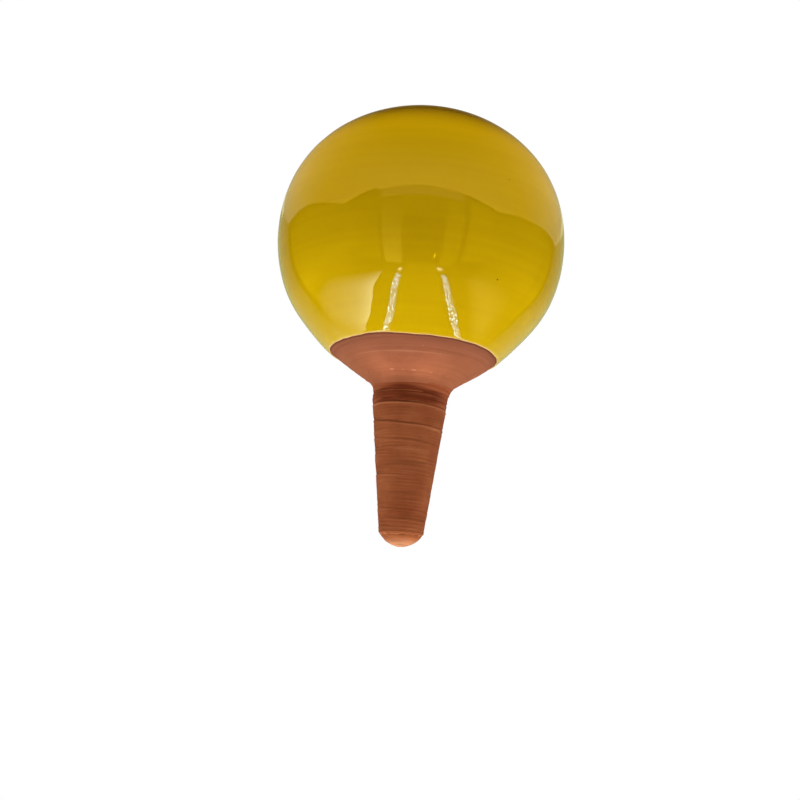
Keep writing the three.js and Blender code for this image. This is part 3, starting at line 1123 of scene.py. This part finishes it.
# The groove under the coats, darkened as painted shade.
shade_groove_at = glaze_edge_at + edge_line(angle) - ENGOBE_SHOW - SHADE_GROOVE_BELOW
rings = rings * shown - SHADE_GROOVE_DEPTH * bell(along - shade_groove_at, SHADE_GROOVE_WIDTH)
outer_r, outer_z = on_wall(along + 0 * angle, rings)
outer_r = outer_r + neck_bulge(outer_z, angle)
print(f"{len(along)} rings of clay, the deepest mark {-rings.min() / MM:.2f} mm")

# %% Painted shade at the sides, slip and painted shade at the neck
# Darker at the two sides of the shoulder as painted shade, and darker all round just above the neck from
# slip and painted shade.
SIDE_SHADE_SHARE = 0.58
SIDE_SHADE_MIDDLE = -5
SIDE_SHADE_SIDES = ((20, 55), (150, 110))
SIDE_SHADE_HEIGHTS = (14 * MM, 8 * MM)
COLLAR_SHARE = 0.45
COLLAR_HEIGHTS = (5 * MM, 3.2 * MM)
off = np.abs(np.degrees(round_from(angle, SIDE_SHADE_MIDDLE)))
darkening = SIDE_SHADE_SHARE * ramp(outer_z, *SIDE_SHADE_HEIGHTS)
for side in SIDE_SHADE_SIDES:
    darkening = darkening * ramp(off, *side)
# Just above the neck: slip and painted shade.
darkening = np.maximum(darkening, COLLAR_SHARE * ramp(outer_z, *COLLAR_HEIGHTS))
print(f"the film hides at most {100 * darkening.max():.0f}% of the clay's own colour")

# %% Globe
SOCKET_INSET = 2.1 * MM
inner_belly = belly_points(-GLOBE_WALL)[::12]
inner_crown = crown_points(-GLOBE_WALL)[5::6]
socket_radius = neck_radius - SOCKET_INSET
socket_z = inner_belly[0, 1] - (inner_belly[0, 0] - socket_radius) / math.tan(SHOULDER_ANGLE)
socket = [(socket_radius, socket_z), (socket_radius, seat_z)]
inside = turned(np.vstack([inner_crown[::-1], inner_belly[::-1], socket]), GLOBE_COLUMNS)
relief = np.vstack([rings / RELIEF_UNIT, 0 * inside[0]])
# Where the darkening is strong, the globe's own colour gives way to painted shade and slip.
thick = np.vstack([1 - darkening, 1 + 0 * inside[0]])
globe = skin("thrown_globe", [(outer_r, outer_z), inside], globe_clay, relief=relief, thick=thick)
settle(globe, "vessel", "globe")

# %% [markdown]
# ## Engobe and glaze
#
# First came pale engobe, then glaze, and both follow the wavering line. They could be colours on the
# clay, but a coat has a depth that shows at its edge, so they are two shells. The engobe reaches a
# little further and shows as the cream thread under the glaze. The glaze is thin at the edge and
# thickens upwards.

# %% Coats
EDGE_SETTLE, TOP_SETTLE = 14 * MM, 5 * MM
EDGE_TINT = 0.8 * MM
EDGE_ROWS = 9
TOP_WAVES = 0.2 * MM
RIM_SPACING = 0.4 * MM
BACK_GAP = 0.02 * MM
BACK_SPACING = 4


def coat(name, finish, columns, start, stop, spacing, face, back, edge_reach):
    angle = ring_angles(columns)
    top_line = TOP_WAVES * edge_waves(angle, 23, 2, 7)

    def laid(along, lift):
        loose = np.clip(1 - (along - start) / EDGE_SETTLE, 0, 1)
        top_loose = np.clip(1 - (stop - along) / TOP_SETTLE, 0, 1)
        shift = edge_line(angle) * loose + top_line * top_loose
        r, z = on_wall(along + shift, lift)
        return r + neck_bulge(z, angle), z

    ease = np.concatenate([np.linspace(0, 1, EDGE_ROWS)[:-1] ** 2 * edge_reach, [edge_reach]])
    body = np.arange(start + edge_reach + spacing / 2, stop - edge_reach - spacing / 2, spacing)
    rim = np.arange(rim_from, rim_to, RIM_SPACING)
    body = np.union1d(body[(body < rim_from) | (body > rim_to)], rim)
    along = np.concatenate([start + ease, body, stop - ease[::-1]])[:, None]
    round_off = np.clip(np.minimum(along - start, stop - along) / edge_reach, 0, 1)
    lift = back + (face(along, angle) - back) * np.sqrt(round_off * (2 - round_off))
    back_rows = np.arange(stop, start, -BACK_SPACING * spacing)[1:-1]
    under = np.concatenate([[stop], back_rows, [start]])[:, None]
    parts = [laid(along, lift), laid(under, back - BACK_GAP)]
    edge = np.vstack([(along - start) / EDGE_TINT + 0 * angle, 1 + 0 * parts[1][0]])
    return skin(name, parts, finish, edge=np.clip(edge, 0, 1))


print(f"coats settle {EDGE_SETTLE / MM:.0f} mm above their edge")

# %% Engobe
ENGOBE_DEPTH = 0.2 * MM
coat_top = mouth_at - 2 * MM


def engobe_face(along, angle):
    return ENGOBE_DEPTH + 0 * along + 0 * angle


engobe = coat(
    "cream_engobe_shell",
    engobe_finish,
    columns=256,
    start=glaze_edge_at - ENGOBE_SHOW,
    stop=coat_top + ENGOBE_SHOW,
    spacing=3 * MM,
    face=engobe_face,
    back=0.05 * MM,
    edge_reach=0.35 * MM,
)
settle(engobe, "vessel", "engobe_coat")

# %% Glaze
GLAZE_EDGE_DEPTH = 0.34 * MM
GLAZE_SWELL = 26 * MM
BEAD_DEPTH, BEAD_AT, BEAD_WIDTH = 0.02 * MM, 0.8 * MM, 0.6 * MM
GLAZE_RIPPLE, GLAZE_SAG = 0.014 * MM, 0.02 * MM


def glaze_face(along, angle):
    swell = ramp(along, glaze_edge_at, glaze_edge_at + GLAZE_SWELL)
    bead = BEAD_DEPTH * bell(along - glaze_edge_at - BEAD_AT, BEAD_WIDTH)
    ripple = GLAZE_RIPPLE * hand_waves(angle, along, 31, 3, 11 * MM)
    ripple = ripple + GLAZE_SAG * hand_waves(angle, along, 32, 2, 34 * MM)
    return GLAZE_EDGE_DEPTH + (coat_depth - GLAZE_EDGE_DEPTH) * swell + bead + ripple


glaze = coat(
    "golden_glaze_shell",
    glaze_finish,
    columns=320,
    start=glaze_edge_at,
    stop=coat_top,
    spacing=1.2 * MM,
    face=glaze_face,
    back=0.22 * MM,
    edge_reach=0.5 * MM,
)
settle(glaze, "vessel", "glaze_coat")

# %% [markdown]
# ## The spike
#
# The spike is thrown too, and the thrower's finger leaves a long spiral: deep near the neck, with a
# small raised lip under it, and fainter towards the tip. Fine lines from wet fingers cover the rest. A
# bump map could paint them, but the outline of the real spike shows its ridges, so they are cut into
# the rings of the mesh. The spiral is a list of slanting marks, because no two of its turns are alike.

# %% Spike marks
# Each mark: the side it faces in degrees, its height there, its climb for each degree, how far its ends
# turn up, how far round it reaches in degrees, and its depth. Heights and depths are in millimetres.
FINGER_MARKS = (
    (0, -4.98, -0.0065, 0.0, 135, 0.3),
    (0, -12.56, -0.0132, 1.2, 115, 0.24),
    (185, -8.9, -0.018, 0.2, 105, 0.22),
    (-15, -18.3, -0.0136, 0.2, 85, 0.14),
    (170, -15.4, -0.016, 0.2, 120, 0.14),
    (20, -24.6, -0.013, 0.2, 110, 0.05),
    (200, -22.0, -0.014, 0.2, 120, 0.08),
    (-40, -30.9, -0.008, 0.1, 60, 0.12),
    (150, -29.0, -0.013, 0.1, 120, 0.07),
    (10, -37.6, -0.01, 0.1, 120, 0.05),
    (0, -43.2, -0.004, 0.1, 120, 0.08),
    (190, -40.2, -0.01, 0.1, 120, 0.07),
    (0, -46.7, -0.003, 0.0, 130, 0.09),
    (10, -48.0, -0.004, 0.0, 110, 0.05),
    (0, -49.5, -0.003, 0.0, 130, 0.09),
)
MARK_WIDTH = 0.4 * MM
MARK_SWAY = 0.06 * MM
LIP_SHARE, LIP_BELOW = 0.7, 1.6


def finger_marks(angle, height):
    cut = 0
    for number, (facing, front, climb, bend, reach, depth) in enumerate(FINGER_MARKS):
        off = round_from(angle, facing)
        middle = front + climb * np.degrees(off) + bend * (2 * off / np.pi) ** 2
        middle = middle * MM + MARK_SWAY * edge_waves(angle, 41 + number, 2, 7)
        strength = depth * MM * np.clip(0.85 + 0.25 * edge_waves(angle, 61 + number, 1, 4), 0.3, 1.2)
        strength = strength * np.exp(-((off / math.radians(reach)) ** 4))
        near = (height - middle) / MARK_WIDTH
        cut = cut + strength * (LIP_SHARE * bell(near + LIP_BELOW, 1) - bell(near, 1))
    return cut


print("finger marks on the spike:", len(FINGER_MARKS))

# %% Spike
SPIKE_COLUMNS = 192
SPIKE_ROWS = 0.25 * MM
COLLAR_INSET, COLLAR_WALL, COLLAR_BEVEL = 1.3 * MM, 2.6 * MM, 0.5 * MM
TIP_WALL = 4.2 * MM
END_INSET = 1 * MM
angle = ring_angles(SPIKE_COLUMNS)
rise = np.arange(tip_z, -seat_z, SPIKE_ROWS)[:, None]
cut = finger_marks(angle, rise)
cut = cut + fine_grooves(angle, rise, 81, tip_z, 0, 260, 0.054 * MM, 0.2 * MM, spans=(0.2, 1.1))
cut = cut + 0.04 * MM * hand_waves(angle, rise, 82, 2, 9 * MM)
bore_tip = TIP_RADIUS - TIP_WALL
collar_radius = socket_radius - COLLAR_INSET
bore_top = collar_radius - COLLAR_WALL
down = np.linspace(0.1, 1, 9)
bore_r = bore_top + (bore_tip - bore_top) * down
bore_z = collar_top_z + (tip_z - collar_top_z) * down
bore = turned(np.vstack([
    (spike_radius(-seat_z) - END_INSET, -seat_z),
    (collar_radius, -seat_z),
    (collar_radius, collar_top_z - COLLAR_BEVEL),
    (collar_radius - COLLAR_BEVEL, collar_top_z),
    (bore_top + COLLAR_BEVEL, collar_top_z),
    (bore_top, collar_top_z - COLLAR_BEVEL),
    np.column_stack([bore_r, bore_z]),
    (TIP_RADIUS - END_INSET, tip_z),
]), SPIKE_COLUMNS)
outside = (clay_face(rise, angle) + cut, rise + 0 * angle)
relief = np.vstack([cut / RELIEF_UNIT, 0 * bore[0]])
spike = skin("thrown_spike", [outside, bore], spike_clay, relief=relief)
settle(spike, "vessel", "spike")

# %% [markdown]
# ## The slip at the neck
#
# Globe and spike are stuck together with slip, which is clay thinned to a paste, and the potter wipes
# what squeezes out round the neck. It dries as a dark, wrinkled band with ragged edges. It could be a
# dark colour on the clay, but its wrinkles stand out from the neck. So it is a band that lies on the
# clay of both, with a sleeve inside the joint, where the CAD has it.

# %% Slip band
SLIP_COLUMNS = 192
SLIP_ROWS = 48
SLIP_LOW, SLIP_LOW_SWAY, SLIP_LOW_RAG = -4.7 * MM, 0.22 * MM, 0.1 * MM
SLIP_HIGH, SLIP_HIGH_SWAY, SLIP_HIGH_RAG = 3.3 * MM, 0.3 * MM, 0.12 * MM
SLIP_DEPTH, SLIP_TUCK = 0.16 * MM, 0.05 * MM
SLIP_LOW_TAPER, SLIP_HIGH_TAPER = 0.1, 0.35
angle = ring_angles(SLIP_COLUMNS)
low = SLIP_LOW + SLIP_LOW_SWAY * edge_waves(angle, 71, 1, 5)
low = low + SLIP_LOW_RAG * edge_waves(angle, 72, 12, 34)
high = SLIP_HIGH + SLIP_HIGH_SWAY * edge_waves(angle, 73, 1, 6)
high = high + SLIP_HIGH_RAG * edge_waves(angle, 74, 12, 34)
t = np.linspace(0, 1, SLIP_ROWS)[:, None]
height = low + (high - low) * t
wrinkle = fine_grooves(angle, height, 75, SLIP_LOW, SLIP_HIGH, 44, 0.16 * MM, 0.26 * MM, spans=(0.25, 1.0))
wrinkle = wrinkle + 0.05 * MM * hand_waves(angle, height, 76, 4, 2.4 * MM)
taper = ramp(np.minimum(t / SLIP_LOW_TAPER, (1 - t) / SLIP_HIGH_TAPER), 0, 1)
band_r = clay_face(height, angle) + (SLIP_DEPTH + wrinkle) * taper - SLIP_TUCK * (1 - taper)
print(f"the band of slip is {(high - low).mean() / MM:.1f} mm tall")

# %% Where the slip is thick
SLIP_THIN_FROM, SLIP_THIN_OVER = 0.6 * MM, 1.9 * MM
SLIP_CREST, SLIP_CREST_SIDE, SLIP_CREST_SPAN = 1.9 * MM, -15, 35
SLIP_DARK_SIDE, SLIP_DARK_REACH, SLIP_FADE_OVER = -3, 40, 28
# How much paler the slip gets towards the two sides.
SLIP_SIDE_PALING = 0.6
aside = np.degrees(round_from(angle, SLIP_CREST_SIDE))
thin_from = SLIP_THIN_FROM + SLIP_CREST * bell(aside, SLIP_CREST_SPAN)
thick = (thin_from - height) / SLIP_THIN_OVER + 0.15 * hand_waves(angle, height, 77, 5, 3 * MM)
off = np.abs(np.degrees(round_from(angle, SLIP_DARK_SIDE)))
# The slip is paler towards the two sides.
toward_sides = np.clip((off - SLIP_DARK_REACH) / SLIP_FADE_OVER, 0, 1)
thick = np.clip(thick, 0, 1) * (1 - SLIP_SIDE_PALING * toward_sides)
print(f"on average the slip is {100 * thick.mean():.0f}% thick")

# %% Slip
SLEEVE_GAP, SLEEVE_WALL, SLEEVE_TURN = 0.15 * MM, 1 * MM, 0.5 * MM
SLIP_UNDER = 0.6 * MM
sleeve_in = collar_radius + SLEEVE_GAP
sleeve_out = sleeve_in + SLEEVE_WALL
sleeve = [
    (clay_face(high, angle) - SLIP_UNDER, high),
    (clay_face(SLEEVE_TURN, angle) - SLIP_UNDER, SLEEVE_TURN),
    (sleeve_out, SLEEVE_TURN),
    (sleeve_out, slip_top_z),
    (sleeve_in, slip_top_z),
    (sleeve_in, slip_low_z),
    (clay_face(slip_low_z, angle) - SLIP_UNDER, slip_low_z),
    (clay_face(low, angle) - SLIP_UNDER, low),
]
sleeve_r, sleeve_z = (np.vstack([line + 0 * angle for line in lines]) for lines in zip(*sleeve))
relief = np.vstack([wrinkle * taper / RELIEF_UNIT, 0 * sleeve_r])
thick = np.vstack([thick, 1 + 0 * sleeve_r])
slip = skin("neck_slip", [(band_r, height), (sleeve_r, sleeve_z)], slip_clay, relief=relief, thick=thick)
settle(slip, "vessel", "luting_slip")

# %% [markdown]
# ## The wad in the tip
#
# The narrow end of the spike is closed with a wad of clay, pressed in and scraped round. Its dome is paler
# than the rest, with scrape marks and a ridge below a ragged border, and above the border the spike's clay
# is smeared over it. A painted border would be flat, so the ridge stands off the dome. Its stem stays in
# the bore.

# %% Tip wad's dome
WAD_COLUMNS = 160
WAD_ROWS = 56
DOME_RADIUS = 9.1 * MM
BORDER_BELOW, BORDER_SWAY = 0.42 * MM, 0.12 * MM
RIDGE_BELOW, RIDGE_WIDTH, RIDGE_HEIGHT = 0.35 * MM, 0.3 * MM, 0.09 * MM
DOME_EASE = 0.08
angle = ring_angles(WAD_COLUMNS)
dome_end = math.acos(1 - (tip_z - wad_low_z) / DOME_RADIUS)
tilt = np.linspace(0, dome_end, WAD_ROWS)[:, None]
dome_r = DOME_RADIUS * np.sin(tilt) + 0 * angle
dome_z = wad_low_z + DOME_RADIUS * (1 - np.cos(tilt)) + 0 * angle
scrape = fine_grooves(angle, dome_z, 102, wad_low_z, tip_z, 30, 0.07 * MM, 0.3 * MM)
scrape = scrape + 0.05 * MM * hand_waves(angle, dome_z, 103, 4, 5 * MM)
border = tip_z - BORDER_BELOW + BORDER_SWAY * edge_waves(angle, 104, 3, 14)
ridge = RIDGE_HEIGHT * bell(dome_z - border + RIDGE_BELOW, RIDGE_WIDTH)
ridge = ridge * np.clip(0.75 + 0.5 * edge_waves(angle, 105, 5, 22), 0, 1.3)
at_ends = np.clip(dome_r / (2 * MM), 0, 1) * np.clip((1 - tilt / dome_end) / DOME_EASE, 0, 1)
scrape = (scrape + ridge) * at_ends
dome_r = np.where(tilt == 0, 0, dome_r + scrape * np.sin(tilt))
dome_z = dome_z - scrape * np.cos(tilt)
print(f"the dome stands {(tip_z - dome_z.min()) / MM:.2f} mm out of the spike")

# %% Tip wad
WAD_LIP = 0.12 * MM
LIP_STEPS = (0.35, 0.7, 1.0)
LIP_OUT = np.array([[0.1], [0.12], [-0.06]]) * MM
STEM_GAP, STEM_INSET = 0.15 * MM, 1.2 * MM
BORDER_SOFT = 0.15 * MM
lip = WAD_LIP * np.clip(0.9 + 0.8 * edge_waves(angle, 101, 2, 9), 0.1, 2)
lip_z = np.vstack([tip_z + lip * step for step in LIP_STEPS])
lip_r = spike_radius(lip_z) + LIP_OUT
stem_radius = bore_tip - STEM_GAP
stem = [(TIP_RADIUS - STEM_INSET, tip_z), (stem_radius, tip_z), (stem_radius, wad_top_z), (0, wad_top_z)]
stem = turned(stem, WAD_COLUMNS)
hidden = 0 * np.vstack([lip_r, stem[0]])
relief = np.vstack([(scrape + ridge) / RELIEF_UNIT, hidden])
thick = np.vstack([np.clip((border - dome_z) / BORDER_SOFT, 0, 1), hidden])
wad = skin("tip_wad", [(dome_r, dome_z), (lip_r, lip_z), stem], wad_clay, relief=relief, thick=thick)
settle(wad, "vessel", "tip_plug")

# %% [markdown]
# ## The stopper
#
# A tapered cork closes the throat and lifts straight out. Its edges are eased and its sides and top are
# pitted. The pits could be left to the finish, but they nick the edges too, so they are pressed into
# the rings. The cork rides on its own body and moves when the joint does.

# %% Cork outline
CORK_COLUMNS = 160
CORK_CHAMFER = 1 * MM
slope = math.tan(THROAT_TAPER)
cork_foot = cork_radius - (cork_top_z - cork_low_z) * slope
side_z = np.linspace(cork_low_z + CORK_CHAMFER, cork_top_z - CORK_CHAMFER, 40)
side = np.column_stack([cork_foot + (side_z - cork_low_z) * slope, side_z])
foot = soft_corner((0, cork_low_z), (cork_foot, cork_low_z), side[1], CORK_CHAMFER)
head = soft_corner(side[-2], (cork_radius, cork_top_z), (0, cork_top_z), CORK_CHAMFER)
low_r = np.linspace(0, foot[0, 0], 10)[:-1]
low_face = np.column_stack([low_r, 0 * low_r + cork_low_z])
top_r = np.linspace(head[-1, 0], 0, 14)[1:]
top_face = np.column_stack([top_r, 0 * top_r + cork_top_z])
profile = np.vstack([low_face, foot, side[1:-1], head, top_face])
on_cork, cork_length = follow(profile)
print(f"the cork narrows from {cork_radius / MM:.1f} to {cork_foot / MM:.1f} mm in radius")

# %% Stopper
PIT_COUNT = 70
PIT_DEPTHS, PIT_DEEPEST = (0.15, 0.45), 0.5 * MM
PIT_TALL, PIT_WIDE, PIT_PLACES = (0.4, 1.4), (0.03, 0.09), (0.2, 0.98)
PIT_RELIEF = 0.4 * MM
angle = ring_angles(CORK_COLUMNS)
along = lengths_along(profile)[:, None]
draw = np.random.default_rng(111)
pits = 0
for _ in range(PIT_COUNT):
    deep = draw.uniform(*PIT_DEPTHS) * MM
    off = turn_from(angle, draw.uniform(-np.pi, np.pi))
    tall = draw.uniform(*PIT_TALL) * MM
    wide = draw.uniform(*PIT_WIDE)
    middle = draw.uniform(*PIT_PLACES) * cork_length
    pits = pits - deep * bell(along - middle, tall) * bell(off, wide)
pits = np.maximum(pits, -PIT_DEEPEST) * np.clip(profile[:, :1] / (2 * MM), 0, 1)
cork_r, cork_z = on_cork(along + 0 * angle, pits)
cork_r = np.where(profile[:, :1] == 0, 0, cork_r)
stopper = skin("cork_stopper", [(cork_r, cork_z)], cork_finish, relief=pits / PIT_RELIEF)
settle(stopper, "stopper", "fill_cork")
